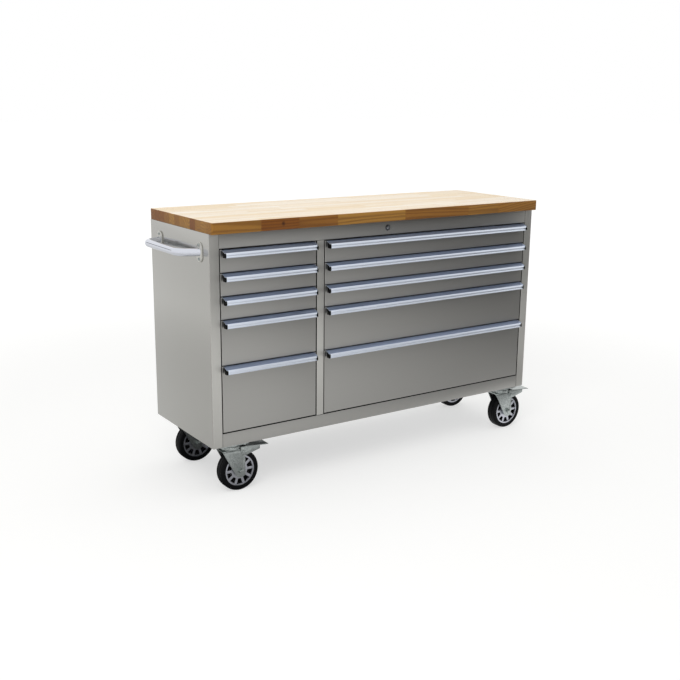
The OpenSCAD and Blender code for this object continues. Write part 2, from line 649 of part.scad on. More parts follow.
// The tyre: a ring with round shoulders
shoulder = 7;
module tyre() translate([trail, 0, wheel_r]) rotate([90, 0, 0]) rotate_extrude($fn = 96) {
    translate([rim_r + fit, -tyre_w / 2]) square([wheel_r - shoulder - rim_r - fit, tyre_w]);
    translate([rim_r + fit, shoulder - tyre_w / 2]) square([wheel_r - rim_r - fit, tyre_w - 2 * shoulder]);
    for (s = [-1, 1]) translate([wheel_r - shoulder, s * (tyre_w / 2 - shoulder)]) circle(r = shoulder);
}

// The brake pedal: a tread with two cheeks that hang outside the fork, and a shoe over the tyre
tread_t = 2.5;
tread_x = fork_half + 3;
tread_low = [13.5, 20.5];                              // the tread below the plate, at its root and its tip
tread_z = [plate_z - tread_low[0], plate_z - tread_low[1]];
tread_free = 34;                                       // length of the tread past its cheeks
cheek_end = pedal_tip - tread_free;
cheek_back = 12;                                       // from the rivet back to the cheek's end
cheek_toe = [6, -15];                                  // a cheek's lower corners, from its rivet
cheek_heel = [-8, -8];
shoe_x = 50;
shoe_w = 6;
shoe_z = wheel_d + 1;
shoe_inset = 5;                                        // the shoe is narrower than the tyre
module pedal() {
    slope = (tread_z[1] - tread_z[0]) / (pedal_tip - tread_x);
    difference() {
        union() {
            rotate([90, 0, 0]) linear_extrude(2 * (cheek_y + cheek_t), center = true) polygon([
                [tread_x, tread_z[0]], [pedal_tip, tread_z[1]], [pedal_tip, tread_z[1] - tread_t],
                [tread_x, tread_z[0] - tread_t]]);
            for (s = [0, 1]) mirror([0, s, 0]) translate([0, cheek_y + cheek_t, 0]) rotate([90, 0, 0])
                linear_extrude(cheek_t) polygon([
                    [pivot[0] - cheek_back, tread_z[0]], [tread_x, tread_z[0]],
                    [cheek_end, tread_z[0] + slope * (cheek_end - tread_x)],
                    [cheek_end, pivot[1]], pivot + cheek_toe, pivot + cheek_heel]);
            translate([shoe_x, shoe_inset - tyre_w / 2, shoe_z]) cube([shoe_w, tyre_w - 2 * shoe_inset,
                tread_z[0] - tread_t / 2 - shoe_z + slope * (shoe_x + shoe_w - tread_x)]);
        }
        translate([pivot[0], 0, pivot[1]]) bar_y(rivet_r + fit, 4 * cheek_y);
    }
}

module fork_at(i, brake) color(zinc) at_swivel(i) fork(brake);
module hub_at(i) color(zinc) at_swivel(i) hub();
module tyre_at(i) color(black) at_swivel(i) tyre();
module pedal_at(i) color(zinc) at_swivel(i) pedal();

side_panel_left();
side_panel_right();
back_panel();
base_pan();
front_frame();
centre_divider();
slide_uprights();
slide_rails();
worktop();
push_handle();
handle_feet();
fasteners();
lock_housing();
lock_plug();
lock_bar();
caster_plates();
fork_at(0, true);  // fork_front_left
fork_at(1, true);  // fork_front_right
fork_at(2, false);  // fork_rear_left
fork_at(3, false);  // fork_rear_right
hub_at(0);  // hub_front_left
hub_at(1);  // hub_front_right
hub_at(2);  // hub_rear_left
hub_at(3);  // hub_rear_right
tyre_at(0);  // tyre_front_left
tyre_at(1);  // tyre_front_right
tyre_at(2);  // tyre_rear_left
tyre_at(3);  // tyre_rear_right
pedal_at(0);  // pedal_front_left
pedal_at(1);  // pedal_front_right
drawer_box(0, 0);  // drawer_l1_box
drawer_box(0, 1);  // drawer_l2_box
drawer_box(0, 2);  // drawer_l3_box
drawer_box(0, 3);  // drawer_l4_box
drawer_box(0, 4);  // drawer_l5_box
drawer_box(1, 0);  // drawer_r1_box
drawer_box(1, 1);  // drawer_r2_box
drawer_box(1, 2);  // drawer_r3_box
drawer_box(1, 3);  // drawer_r4_box
drawer_box(1, 4);  // drawer_r5_box
drawer_pull(0, 0);  // drawer_l1_pull
drawer_pull(0, 1);  // drawer_l2_pull
drawer_pull(0, 2);  // drawer_l3_pull
drawer_pull(0, 3);  // drawer_l4_pull
drawer_pull(0, 4);  // drawer_l5_pull
drawer_pull(1, 0);  // drawer_r1_pull
drawer_pull(1, 1);  // drawer_r2_pull
drawer_pull(1, 2);  // drawer_r3_pull
drawer_pull(1, 3);  // drawer_r4_pull
drawer_pull(1, 4);  // drawer_r5_pull
drawer_slides(0, 0);  // drawer_l1_slides
drawer_slides(0, 1);  // drawer_l2_slides
drawer_slides(0, 2);  // drawer_l3_slides
drawer_slides(0, 3);  // drawer_l4_slides
drawer_slides(0, 4);  // drawer_l5_slides
drawer_slides(1, 0);  // drawer_r1_slides
drawer_slides(1, 1);  // drawer_r2_slides
drawer_slides(1, 2);  // drawer_r3_slides
drawer_slides(1, 3);  // drawer_r4_slides
drawer_slides(1, 4);  // drawer_r5_slides
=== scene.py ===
import bmesh
import bpy
import random
from math import atan2, cos, degrees, pi, radians, sin, sqrt, tan
from mathutils import Matrix, Vector


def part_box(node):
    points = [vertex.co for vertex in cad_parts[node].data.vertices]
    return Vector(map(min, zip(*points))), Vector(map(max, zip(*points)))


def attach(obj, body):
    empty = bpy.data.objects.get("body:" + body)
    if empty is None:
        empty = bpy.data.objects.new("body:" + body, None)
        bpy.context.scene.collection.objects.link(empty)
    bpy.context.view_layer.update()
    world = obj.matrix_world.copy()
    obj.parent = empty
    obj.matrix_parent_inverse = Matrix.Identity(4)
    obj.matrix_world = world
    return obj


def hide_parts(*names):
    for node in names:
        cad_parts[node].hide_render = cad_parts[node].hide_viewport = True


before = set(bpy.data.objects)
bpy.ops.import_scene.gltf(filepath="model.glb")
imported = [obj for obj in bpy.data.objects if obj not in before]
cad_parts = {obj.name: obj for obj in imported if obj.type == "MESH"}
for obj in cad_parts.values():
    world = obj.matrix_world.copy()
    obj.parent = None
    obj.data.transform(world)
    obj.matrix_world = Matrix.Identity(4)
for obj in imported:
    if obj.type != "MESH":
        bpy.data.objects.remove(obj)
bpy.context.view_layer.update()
print("frame loaded:", len(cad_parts), "nodes")

mm = 0.001
drawerNames = [column + str(row) for column in "lr" for row in range(1, 6)]
corners = ("front_left", "front_right", "rear_left", "rear_right")

# the cabinet's own planes and its openings, read from the frame
panelLow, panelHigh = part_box("side_panel_left")
frameLow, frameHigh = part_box("front_frame")
topLow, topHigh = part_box("worktop")
cabinet = {"left": panelLow.x, "right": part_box("side_panel_right")[1].x, "front": panelLow.y,
           "back": panelHigh.y, "low": panelLow.z, "high": panelHigh.z}
stileWidth = frameLow.x - panelLow.x
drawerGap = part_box("drawer_l1_box")[0].x - frameLow.x
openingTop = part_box("drawer_l1_box")[1].z + drawerGap
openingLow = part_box("drawer_l5_box")[0].z - drawerGap
sheet = {"thick": 1.2 * mm, "fold": 0.9 * mm, "return": 14 * mm, "flange": 25 * mm, "seam": 0.25 * mm}

white = (1, 1, 1, 1)
colourA, colourB, colourOut = 6, 7, 2  # the colour sockets of a Mix node


def linear(code):
    channels = [int(code[i:i + 2], 16) / 255 for i in (1, 3, 5)]
    return (*(c / 12.92 if c <= 0.04045 else ((c + 0.055) / 1.055) ** 2.4 for c in channels), 1.0)


# Gives each named input its value, or links it to the socket that it comes from
def setInputs(tree, node, inputs):
    for name, value in inputs.items():
        if isinstance(value, bpy.types.NodeSocket):
            tree.links.new(value, node.inputs[name])
        else:
            node.inputs[name].default_value = value


def addNode(tree, kind, inputs=None, **settings):
    made = tree.nodes.new("ShaderNode" + kind)
    for name, value in settings.items():
        setattr(made, name, value)
    setInputs(tree, made, inputs or {})
    return made


def newMaterial(name, inputs):
    material = bpy.data.materials.new(name)
    material.use_nodes = True
    tree = material.node_tree
    shader = tree.nodes["Principled BSDF"]
    setInputs(tree, shader, inputs)
    place = addNode(tree, "TexCoord").outputs["Object"]
    return material, tree, shader, place


# The colour goes between two tones and the roughness between two values, each by its own pattern
def finishShader(tree, shader, toneBy, tones, glossBy, roughness, bump=None):
    tint = addNode(tree, "Mix", {"Factor": toneBy, colourA: linear(tones[0]), colourB: linear(tones[1])},
                   data_type="RGBA")
    gloss = addNode(tree, "MapRange", {"Value": glossBy, "To Min": roughness[0], "To Max": roughness[1]})
    setInputs(tree, shader, {"Base Color": tint.outputs[colourOut], "Roughness": gloss.outputs[0]})
    if bump:
        setInputs(tree, shader, {"Normal": addNode(tree, "Bump", bump).outputs[0]})


# The scale at which a pattern repeats about every so many millimetres, for all axes or for each
def patternScale(*sizes):
    scales = tuple(1000 / size for size in sizes)
    return scales if len(scales) > 1 else scales[0]


# Brushed stainless steel: long fine scratches that spread a reflection across them, and a slow change of tone
def brushedStainless(name, along, tones, roughness, spread):
    # real scratches lie 0.1 mm apart; these are 1.2 mm so that they show
    scratchSize = {"X": (160, 1.2, 1.2), "Z": (1.2, 1.2, 160)}[along]
    cloudSize = [6 * size for size in scratchSize]
    material, tree, shader, place = newMaterial(name, {
        "Metallic": 1.0, "Anisotropic": spread, "Anisotropic Rotation": 0.25 if along == "X" else 0.0})
    fine = addNode(tree, "Mapping", {"Vector": place, "Scale": patternScale(*scratchSize)})
    scratch = addNode(tree, "TexNoise", {"Vector": fine.outputs[0], "Scale": 1.0, "Detail": 3.0,
                                         "Roughness": 0.65})
    wide = addNode(tree, "Mapping", {"Vector": place, "Scale": patternScale(*cloudSize)})
    cloud = addNode(tree, "TexNoise", {"Vector": wide.outputs[0], "Scale": 1.0, "Detail": 2.0})
    both = addNode(tree, "Mix", {"Factor": 0.35, colourA: scratch.outputs["Color"],
                                 colourB: cloud.outputs["Color"]}, data_type="RGBA")
    haze = addNode(tree, "MapRange", {"Value": both.outputs[colourOut], "From Min": 0.3, "From Max": 0.7})
    bump = {"Height": scratch.outputs["Fac"], "Strength": 0.08, "Distance": 0.03 * mm}
    finishShader(tree, shader, both.outputs[colourOut], tones, haze.outputs[0], roughness, bump)
    return material


# Galvanised sheet: crystals of zinc in slightly different greys
def galvanisedSheet(name, tones, spangle, roughness):
    material, tree, shader, place = newMaterial(name, {"Metallic": 1.0})
    crystals = addNode(tree, "TexVoronoi", {"Vector": place, "Scale": patternScale(spangle)})
    grey = addNode(tree, "SeparateColor", {"Color": crystals.outputs["Color"]})
    haze = addNode(tree, "TexNoise", {"Vector": place, "Scale": patternScale(4 * spangle), "Detail": 4.0})
    amount = addNode(tree, "Math", {0: grey.outputs[0], 1: haze.outputs["Fac"]}, operation="MULTIPLY")
    finishShader(tree, shader, amount.outputs[0], tones, grey.outputs[1], roughness)
    return material


# Anodised aluminium, extruded: satin, with faint die lines along its length
def anodisedAluminium(name, tones, roughness):
    material, tree, shader, place = newMaterial(name, {"Metallic": 1.0, "Anisotropic": 0.4,
                                                       "Anisotropic Rotation": 0.25})
    lines = addNode(tree, "Mapping", {"Vector": place, "Scale": patternScale(400, 1.5, 1.5)})
    die = addNode(tree, "TexNoise", {"Vector": lines.outputs[0], "Scale": 1.0, "Detail": 2.0}).outputs["Fac"]
    finishShader(tree, shader, die, tones, die, roughness)
    return material


# Chrome or nickel plating: a clear mirror with a little haze, in patches of 18 mm, where hands touch it
def platedMirror(name, colour, roughness):
    material, tree, shader, place = newMaterial(name, {"Metallic": 1.0, "Base Color": linear(colour)})
    haze = addNode(tree, "TexNoise", {"Vector": place, "Scale": patternScale(18), "Detail": 4.0})
    gloss = addNode(tree, "MapRange", {"Value": haze.outputs["Fac"], "To Min": roughness[0],
                                       "To Max": roughness[1]})
    setInputs(tree, shader, {"Roughness": gloss.outputs[0]})
    return material


# Zinc plated pressed steel: pale, slightly blue, clouded by the bath every 9 mm and spotted every 3.5 mm
def zincPlated(name, tones, roughness):
    material, tree, shader, place = newMaterial(name, {"Metallic": 1.0})
    cloud = addNode(tree, "TexNoise", {"Vector": place, "Scale": patternScale(9), "Detail": 5.0,
                                       "Roughness": 0.6}).outputs["Fac"]
    spot = addNode(tree, "TexVoronoi", {"Vector": place, "Scale": patternScale(3.5)}).outputs["Distance"]
    both = addNode(tree, "Math", {0: cloud, 1: spot}, operation="ADD")
    amount = addNode(tree, "MapRange", {"Value": both.outputs[0], "From Min": 0.3,
                                        "From Max": 1.3}).outputs[0]
    bump = {"Height": cloud, "Strength": 0.15, "Distance": 0.1 * mm}
    finishShader(tree, shader, amount, tones, amount, roughness, bump)
    return material


# Moulded plastic and rubber: dark, with the fine grain of the mould
def mouldedBlack(name, tones, roughness, grain, depth):
    material, tree, shader, place = newMaterial(name, {"Specular IOR Level": 0.1})
    noise = addNode(tree, "TexNoise", {"Vector": place, "Scale": patternScale(grain),
                                       "Detail": 3.0}).outputs["Fac"]
    bump = {"Height": noise, "Strength": 0.3, "Distance": depth * mm}
    finishShader(tree, shader, noise, tones, noise, roughness, bump)
    return material


# Die cast aluminium, machined bright: silver with a soft gloss and a grain of 2.5 mm
def castAluminium(name, tones, roughness):
    material, tree, shader, place = newMaterial(name, {"Metallic": 1.0})
    noise = addNode(tree, "TexNoise", {"Vector": place, "Scale": patternScale(2.5),
                                       "Detail": 3.0}).outputs["Fac"]
    finishShader(tree, shader, noise, tones, noise, roughness)
    return material


# Rubberwood staves, sanded and oiled: growth rings, fine fibre and short pores; each stave has its own tone
def oiledWood(name, tones, ringShade, depth, roughness, knot=None):
    # real rings lie about 4 mm apart; these are 10 mm apart so that they show
    wood = {"ringSize": 10 * mm, "fibreSize": (60, 1.1, 1.1), "poreSize": (7, 0.7, 0.7),
            "poreShade": "#6B4524", "knotWobble": 14, "knotShade": "#3E1D08"}
    material, tree, shader, place = newMaterial(name, {"Specular IOR Level": 0.35})
    along = addNode(tree, "Attribute", attribute_name="staveGrain").outputs["Vector"]
    tone = addNode(tree, "Attribute", attribute_name="staveTone").outputs["Fac"]
    # grain runs along the stave, so lengths along X count for a twentieth
    drawn = addNode(tree, "Mapping", {"Vector": along, "Scale": (0.05, 1, 1)})
    # a Wave texture of scale 1 repeats every 0.314 m
    rings = addNode(tree, "TexWave", {"Vector": drawn.outputs[0], "Scale": 0.314 / wood["ringSize"],
                                      "Distortion": 7.0, "Detail": 2.0, "Detail Scale": 1.2},
                    wave_type="RINGS", rings_direction="X")
    fibreScale = addNode(tree, "Mapping", {"Vector": along, "Scale": patternScale(*wood["fibreSize"])})
    fibre = addNode(tree, "TexNoise", {"Vector": fibreScale.outputs[0], "Scale": 1.0, "Detail": 3.0})
    poreScale = addNode(tree, "Mapping", {"Vector": along, "Scale": patternScale(*wood["poreSize"])})
    pore = addNode(tree, "TexNoise", {"Vector": poreScale.outputs[0], "Scale": 1.0, "Detail": 1.0})
    deep = addNode(tree, "MapRange", {"Value": pore.outputs["Fac"], "From Min": 0.62, "From Max": 0.74,
                                      "To Min": 0.0, "To Max": 0.4})
    grain = addNode(tree, "Mix", {"Factor": 0.4, colourA: rings.outputs["Color"],
                                  colourB: fibre.outputs["Color"]}, data_type="RGBA")
    strength = addNode(tree, "MapRange", {"Value": grain.outputs[colourOut], "From Min": 0.3, "From Max": 0.8,
                                          "To Min": 0.0, "To Max": depth})
    layers = [(strength.outputs[0], ringShade), (deep.outputs[0], wood["poreShade"])]
    if knot:
        wobble = addNode(tree, "TexNoise", {"Vector": place, "Scale": patternScale(wood["knotWobble"]),
                                            "Detail": 2.0})
        apart = addNode(tree, "VectorMath", {0: place, 1: knot["spot"]}, operation="DISTANCE")
        blurred = addNode(tree, "Math", {0: wobble.outputs["Fac"], 1: knot["radius"],
                                         2: apart.outputs["Value"]}, operation="MULTIPLY_ADD")
        dark = addNode(tree, "MapRange", {"Value": blurred.outputs[0], "From Min": 0.7 * knot["radius"],
                                          "From Max": 1.6 * knot["radius"], "To Min": 0.85, "To Max": 0.0},
                       interpolation_type="SMOOTHSTEP")
        layers.append((dark.outputs[0], wood["knotShade"]))
    colour = addNode(tree, "Mix", {"Factor": tone, colourA: linear(tones[0]), colourB: linear(tones[1])},
                     data_type="RGBA").outputs[colourOut]
    for amount, shade in layers:
        colour = addNode(tree, "Mix", {"Factor": amount, colourA: colour, colourB: linear(shade)},
                         data_type="RGBA").outputs[colourOut]
    gloss = addNode(tree, "MapRange", {"Value": fibre.outputs["Fac"], "To Min": roughness[0],
                                       "To Max": roughness[1]})
    bump = addNode(tree, "Bump", {"Height": fibre.outputs["Fac"], "Strength": 0.15, "Distance": 0.15 * mm})
    setInputs(tree, shader, {"Base Color": colour, "Roughness": gloss.outputs[0], "Normal": bump.outputs[0]})
    return material


steelTones = ("#B2B1AD", "#B9B8B4")
uprightPaintedLightTones = ("#CDCCC7", "#D3D2CD")
edgeKnot = {"spot": (topLow.x + 269 * mm, topLow.y, topHigh.z - 18 * mm), "radius": 9 * mm}
materials = {
    "frontSteel": brushedStainless("brushedStainlessAcross", "X", steelTones, (0.27, 0.33), 0.8),
    # the uprights are brushed upright, and their paler tones are painted light: the same stainless as the
    # fronts, lighter because of how light falls on them
    "postSteel": brushedStainless("brushedStainlessUpright", "Z", uprightPaintedLightTones, (0.40, 0.46), 0.9),
    "sideSteel": brushedStainless("polishedStainlessUpright", "Z", steelTones, (0.13, 0.17), 0.5),
    "innerSteel": galvanisedSheet("galvanisedSheet", ("#7D8082", "#AEB1B3"), 9, (0.35, 0.5)),
    # the blue cast of both pull finishes is a painted reflection of a blue sky
    "pull": anodisedAluminium("anodisedAluminiumSatin", ("#E2EBF8", "#EAF0FA"), (0.38, 0.44)),
    # the top faces' darker tones are painted shade: it is the same aluminium as the rest of the pull
    "pullTop": anodisedAluminium("anodisedAluminiumShadedTop", ("#A6B6D6", "#B0BEDA"), (0.36, 0.42)),
    "zinc": zincPlated("zincPlatedSteel", ("#7C8281", "#B8BEBC"), (0.44, 0.26)),
    "chrome": platedMirror("chromedSteel", "#D6D9E2", (0.07, 0.12)),
    "nickel": platedMirror("nickelPlatedBrass", "#B0B2B5", (0.16, 0.24)),
    "darkNickel": platedMirror("blackNickelPlatedZinc", "#54565A", (0.2, 0.28)),
    "hub": castAluminium("castAluminiumMachined", ("#B2B4BC", "#CED0D7"), (0.25, 0.4)),
    # for the four blacks, the last two values are the grain's size and depth in millimetres
    "black": mouldedBlack("nylonMoulded", ("#050506", "#101012"), (0.35, 0.5), 1.2, 0.05),
    # the black on the folds round the drawers is painted shade for the dark gaps there
    "gapShade": mouldedBlack("blackGapShade", ("#08080A", "#121214"), (0.8, 0.95), 1.5, 0.1),
    "pocket": mouldedBlack("wheelPocketPaint", ("#050506", "#0E0E10"), (0.4, 0.55), 2.0, 0.03),
    "rubber": mouldedBlack("tyreRubberMoulded", ("#060607", "#131416"), (0.45, 0.65), 2.5, 0.1),
    # the top's near-white tones are painted light: it is the same wood as the edges, pale where light falls
    # on it from above
    "woodTop": oiledWood("rubberwoodTopPaintedLight", ("#FFF6E8", "#F5E1C0"), "#E6CCA3", 0.5, (0.42, 0.58)),
    "woodEdge": oiledWood("rubberwoodOiledEdge", ("#BC893A", "#8A5013"), "#502606", 0.42, (0.4, 0.55),
                          edgeKnot)}
print("materials made:", len(materials))


def finishPiece(bm, name, body, finishes, replaced=(), bevel=0.0, smooth=38, normals=True):
    if normals:
        bmesh.ops.recalc_face_normals(bm, faces=bm.faces)
    if bevel:
        sharp = [e for e in bm.edges if len(e.link_faces) == 2 and e.calc_face_angle(0) > radians(30)]
        bmesh.ops.bevel(bm, geom=sharp, offset=bevel, segments=2, profile=0.6, affect="EDGES",
                        clamp_overlap=True)
    for face in bm.faces:
        face.smooth = True
    for edge in bm.edges:
        edge.smooth = len(edge.link_faces) == 2 and edge.calc_face_angle(0) < radians(smooth)
    mesh = bpy.data.meshes.new(name)
    bm.to_mesh(mesh)
    bm.free()
    for finish in finishes:
        mesh.materials.append(materials[finish])
    piece = bpy.data.objects.new(name, mesh)
    bpy.context.scene.collection.objects.link(piece)
    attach(piece, body)
    if replaced:
        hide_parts(*replaced)


# Faces between closed loops of points, with a cap on each end unless the row of loops is a ring
def loft(bm, loops, ring=False, finish=0):
    grid = [[bm.verts.new(p) for p in loop] for loop in loops]
    made = []
    for first, second in zip(grid, grid[1:] + grid[:1] if ring else grid[1:]):
        for i in range(len(first)):
            j = (i + 1) % len(first)
            made.append(bm.faces.new((first[i], first[j], second[j], second[i])))
    if not ring:
        made.append(bm.faces.new(list(reversed(grid[0]))))
        made.append(bm.faces.new(grid[-1]))
    for face in made:
        face.material_index = finish
    return made


# A point from its place along an axis and its two other coordinates
def onAxis(axis, along, u, v):
    return {"X": Vector((along, u, v)), "Y": Vector((u, along, v)), "Z": Vector((u, v, along))}[axis]


def extrude(bm, outline, axis, start, end, finish=0):
    return loft(bm, [[onAxis(axis, s, u, v) for u, v in outline] for s in (start, end)], finish=finish)


def box(bm, low, high):
    outline = [(low[0], low[1]), (high[0], low[1]), (high[0], high[1]), (low[0], high[1])]
    return extrude(bm, outline, "Z", low[2], high[2])


# A ring turned about the Y axis from a closed outline of (radius, along)
def lathe(bm, outline, centre, count):
    turns = [2 * pi * k / count for k in range(count)]
    loops = [[centre + onAxis("Y", along, radius * cos(t), radius * sin(t)) for t in turns]
             for radius, along in outline]
    loft(bm, loops, ring=True)


def arc(cu, cv, radius, first, last, steps):
    turns = [radians(first + (last - first) * k / steps) for k in range(steps + 1)]
    return [(cu + radius * cos(t), cv + radius * sin(t)) for t in turns]


# Points, each with its direction, along a line whose corners are bent to a radius
def bentPath(line, radius, steps):
    points = [Vector(p) for p in line]
    path = [(points[0], (points[1] - points[0]).normalized())]
    for before, corner, after in zip(points, points[1:], points[2:]):
        a, b = (corner - before).normalized(), (after - corner).normalized()
        turn = atan2(a.x * b.y - a.y * b.x, a.dot(b))
        side = 1 if turn > 0 else -1
        start = corner - a * radius * tan(abs(turn) / 2)
        middle = start + Vector((-a.y, a.x)) * side * radius
        for k in range(steps + 1):
            spin = Matrix.Rotation(turn * k / steps, 2)
            path.append((middle + spin @ (start - middle), spin @ a))
    path.append((points[-1], (points[-1] - points[-2]).normalized()))
    return path


# The outline of a sheet folded along its middle line
def foldedSheet(line, thick=sheet["thick"], fold=sheet["fold"]):
    across = [(p, Vector((-d.y, d.x)) * thick / 2) for p, d in bentPath(line, fold, 5)]
    return [p + n for p, n in across] + [p - n for p, n in reversed(across)]


# A rounded rectangle that steps in and along through a list of (inset, along, corner radius)
def panLoft(bm, axis, rect, steps):
    loops = []
    for inset, along, radius in steps:
        u0, u1, v0, v1 = rect[0] + inset, rect[1] - inset, rect[2] + inset, rect[3] - inset
        centres = ((u1 - radius, v1 - radius, 0), (u0 + radius, v1 - radius, 90),
                   (u0 + radius, v0 + radius, 180), (u1 - radius, v0 + radius, 270))
        flat = [p for u, v, first in centres for p in arc(u, v, radius, first, first + 90, 3)]
        loops.append([onAxis(axis, along, u, v) for u, v in flat])
    loft(bm, loops)


# A copy of a CAD node with its edges rounded as the press, the mould or the lathe leaves them
def dressedCopy(node, body, finishes, bevel, choose=None):
    bm = bmesh.new()
    bm.from_mesh(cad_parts[node].data)
    bmesh.ops.remove_doubles(bm, verts=bm.verts, dist=0.002 * mm)
    bmesh.ops.dissolve_limit(bm, angle_limit=radians(0.5), verts=bm.verts, edges=bm.edges)
    for face in bm.faces:
        face.material_index = choose(face) if choose else 0
    finishPiece(bm, node + "_dressed", body, finishes, [node], bevel, normals=False)


# One end of the cabinet: inward is 1 for the left end and -1 for the right
def makeSidePanel(name, side, inward):
    half = sheet["thick"] / 2
    width, depth = stileWidth - half, cabinet["back"] - cabinet["front"]
    line = [(width, sheet["return"]), (width, half), (half, half), (half, depth - half),
            (sheet["flange"], depth - half)]
    outline = [(side + inward * u, cabinet["front"] + v) for u, v in foldedSheet(line)]
    bm = bmesh.new()
    extrude(bm, outline, "Z", cabinet["low"], cabinet["high"])
    # the stile is brushed upright in paler tones that are painted light, and its fold beside the drawers is
    # painted black: painted shade for the gap there
    bmesh.ops.recalc_face_normals(bm, faces=bm.faces)
    for face in bm.faces:
        inset = inward * (face.calc_center_median().x - side)
        if inward * face.normal.x > 0.4 and inset > stileWidth - 1 * mm:
            face.material_index = 2
        elif face.normal.y < -0.9:
            face.material_index = 1
    near, far = sorted((side + inward * sheet["thick"], side + inward * sheet["flange"]))
    box(bm, (near, cabinet["front"] + sheet["return"], cabinet["high"] - sheet["thick"]),
        (far, cabinet["back"] - 2 * sheet["thick"], cabinet["high"]))
    finishPiece(bm, name + "_folded", "cabinet", ["sideSteel", "postSteel", "gapShade"], [name],
                bevel=0.25 * mm)


def makeFrontFrame():
    half, seam = sheet["thick"] / 2, sheet["seam"]
    front, back = cabinet["front"], cabinet["front"] + sheet["return"]
    start, end = frameLow.x + seam, frameHigh.x - seam
    bm = bmesh.new()
    topRail = [(front + sheet["flange"], cabinet["high"] - half), (front + half, cabinet["high"] - half),
               (front + half, openingTop + half), (back, openingTop + half)]
    extrude(bm, foldedSheet(topRail), "X", start, end)
    bottomRail = [(front + half, cabinet["low"]), (front + half, openingLow - half),
                  (back, openingLow - half)]
    extrude(bm, foldedSheet(bottomRail), "X", start, end)
    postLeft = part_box("drawer_l1_box")[1].x + drawerGap
    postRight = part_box("drawer_r1_box")[0].x - drawerGap
    post = [(postLeft + half, back), (postLeft + half, front + half), (postRight - half, front + half),
            (postRight - half, back)]
    extrude(bm, foldedSheet(post), "Z", openingLow + seam, openingTop - seam, finish=1)
    # the folds round the drawers are painted black: painted shade for the gaps there
    bmesh.ops.recalc_face_normals(bm, faces=bm.faces)
    folds = ((2, openingTop), (2, openingLow), (0, postLeft), (0, postRight))
    for face in bm.faces:
        spot, facing = face.calc_center_median(), face.normal
        onFold = any(abs(facing[i]) > 0.4 and abs(spot[i] - level) < 1 * mm for i, level in folds)
        if onFold and spot.y > front + 0.1 * mm:
            face.material_index = 2
    finishPiece(bm, "front_frame_folded", "cabinet", ["frontSteel", "postSteel", "gapShade"],
                ["front_frame"], bevel=0.2 * mm)


def makeWorktop():
    staves = {"depth": 41 * mm, "shortest": 190 * mm, "longest": 460 * mm, "stub": 114 * mm, "gap": 0.12 * mm,
              "edge": 1.5 * mm, "corner": 6 * mm, "seed": 4,
              # how far a stave lies from the heart of its tree, in metres: along it, and across it
              "away": 9, "heart": 40 * mm,
              # how its grain leans, in degrees, and how that of the last one in the front row does
              "lean": 1.5, "flame": 9,
              # the front row from the left: length, and tone from pale 0 to warm 1
              "frontRow": [(184 * mm, 0.35), (149 * mm, 0.95), (159 * mm, 0.7), (297 * mm, 0.15),
                           (305 * mm, 0.6), (155 * mm, 0.3), (190 * mm, 0.4)]}
    chance = random.Random(staves["seed"])
    count = round((topHigh.y - topLow.y) / staves["depth"])
    depth, gap = (topHigh.y - topLow.y) / count, staves["gap"] / 2
    bm = bmesh.new()
    toneLayer = bm.faces.layers.float.new("staveTone")
    staveLayer = bm.faces.layers.int.new("staveNumber")
    grainLayer = bm.loops.layers.float_vector.new("staveGrain")
    grains = []
    for row in range(count):
        x, planned = topLow.x, staves["frontRow"] if row == 0 else []
        y0, y1 = topLow.y + row * depth, topLow.y + (row + 1) * depth
        while x < topHigh.x - 1 * mm:
            if planned:
                length, tone = planned.pop(0)
            else:
                length, tone = chance.uniform(staves["shortest"], staves["longest"]), chance.random()
            end = x + length
            if topHigh.x - end < staves["stub"]:
                end = topHigh.x
            near = (x + (gap if x > topLow.x else 0), y0 + (gap if row else 0), topLow.z)
            far = (end - (gap if end < topHigh.x else 0), y1 - (gap if row < count - 1 else 0), topHigh.z)
            away, heart = staves["away"], staves["heart"]
            shift = Vector((chance.uniform(-away, away), chance.uniform(-heart, heart),
                            chance.uniform(-heart, heart)))
            lean = chance.uniform(-staves["lean"], staves["lean"])
            if row == 0 and end == topHigh.x:
                lean, shift.y, shift.z = staves["flame"], 0.0, 0.0
            for face in box(bm, near, far):
                face[toneLayer], face[staveLayer] = tone, len(grains)
            middle = Vector(((x + end) / 2, y0, (topLow.z + topHigh.z) / 2))
            grains.append((middle, Matrix.Rotation(radians(lean), 3, "Y"), shift))
            x = end
    bmesh.ops.recalc_face_normals(bm, faces=bm.faces)

    # the upright corners and then the outer edges are rounded over; the joints between staves stay square
    def sidesMet(edge, axes):
        a, b = (v.co for v in edge.verts)
        return sum(abs(a[i] - end[i]) < 1e-6 and abs(b[i] - end[i]) < 1e-6
                   for i in axes for end in (topLow, topHigh))
    upright = [e for e in bm.edges if sidesMet(e, (0, 1)) == 2]
    bmesh.ops.bevel(bm, geom=upright, offset=staves["corner"], segments=6, profile=0.5, affect="EDGES")
    level = [e for e in bm.edges if sidesMet(e, (2,)) == 1 and e.is_manifold
             and abs(e.link_faces[0].normal.z - e.link_faces[1].normal.z) > 0.5
             and (sidesMet(e, (0, 1)) == 1 or min(f.calc_area() for f in e.link_faces) < 1e-4)]
    bmesh.ops.bevel(bm, geom=level, offset=staves["edge"], segments=3, profile=0.5, affect="EDGES",
                    clamp_overlap=True)
    for face in bm.faces:
        # faces that face up take the pale top wood: painted light
        face.material_index = 0 if face.normal.z > 0.9 else 1
        middle, turn, shift = grains[face[staveLayer]]
        for corner in face.loops:
            corner[grainLayer] = turn @ (corner.vert.co - middle) + shift
    finishPiece(bm, "worktop_staves", "cabinet", ["woodTop", "woodEdge"], ["worktop"],
                normals=False)


